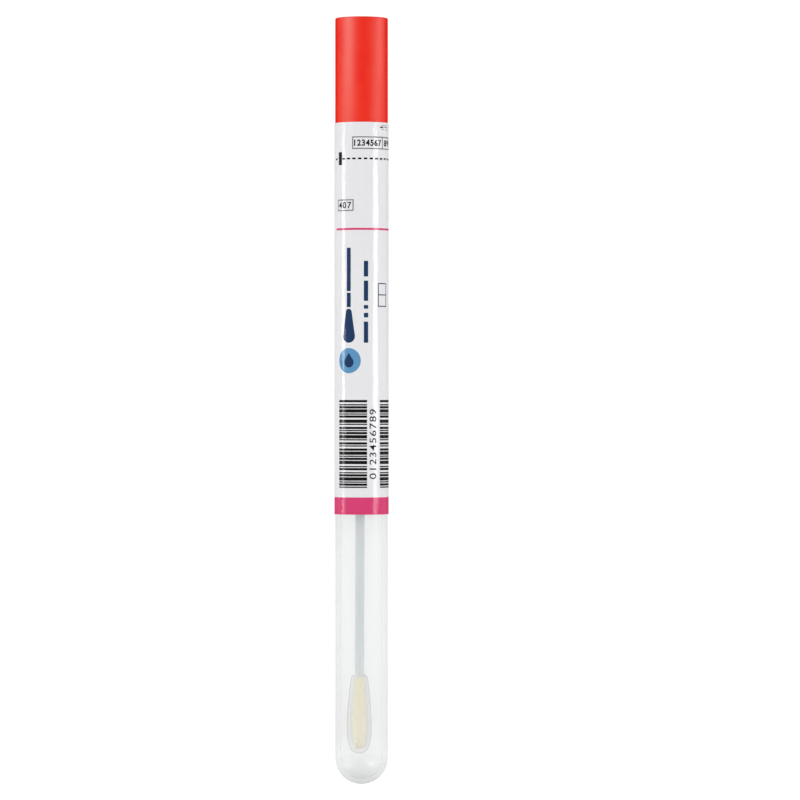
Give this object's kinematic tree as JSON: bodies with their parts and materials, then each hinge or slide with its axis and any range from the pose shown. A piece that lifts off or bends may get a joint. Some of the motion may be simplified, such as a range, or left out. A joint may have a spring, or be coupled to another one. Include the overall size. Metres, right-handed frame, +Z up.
{
  "type": "specimen swab tube",
  "caption": "Round-bottomed specimen tube with a flocked swab held in its push-in cap, wrapped in a perforated sealing label.",
  "frame": {"origin": "on the bench, under the middle of the length of the lying tube", "axes": "+Y along the tube from its round bottom to its cap, +Z up through the printed front of the label, +X to the right of the label"},
  "size_m": [0.0118, 0.1672, 0.0118],
  "materials": {
    "tube_plastic": "translucent injection-moulded polypropylene, polished",
    "cap_plastic": "red moulded polyethylene, satin",
    "stick_plastic": "pale translucent moulded plastic",
    "flock": "short nylon flock, cream under a white surface",
    "red_ink": "printed ink",
    "label_film": "glossy white label film",
    "pink_ink": "printed ink under gloss varnish",
    "black_ink": "printed ink under gloss varnish",
    "navy_ink": "printed ink under gloss varnish",
    "blue_ink": "printed ink under gloss varnish"
  },
  "bodies": {
    "specimen_tube": {"tube": "tube_plastic", "label": "label_film", "label_pink_print": "pink_ink", "label_black_print": "black_ink", "label_navy_print": "navy_ink", "label_blue_print": "blue_ink"},
    "cap_with_swab": {"cap": "cap_plastic", "label_seal": "label_film", "seal_black_print": "black_ink", "swab_shaft": "stick_plastic", "flock_tip": "flock", "breakpoint_mark": "red_ink"}
  },
  "joints": [
    {"name": "cap_pull", "type": "slide", "parent": "specimen_tube", "child": "cap_with_swab", "axis": [0, 1, 0], "range_m": [0, 0.145]}
  ]
}
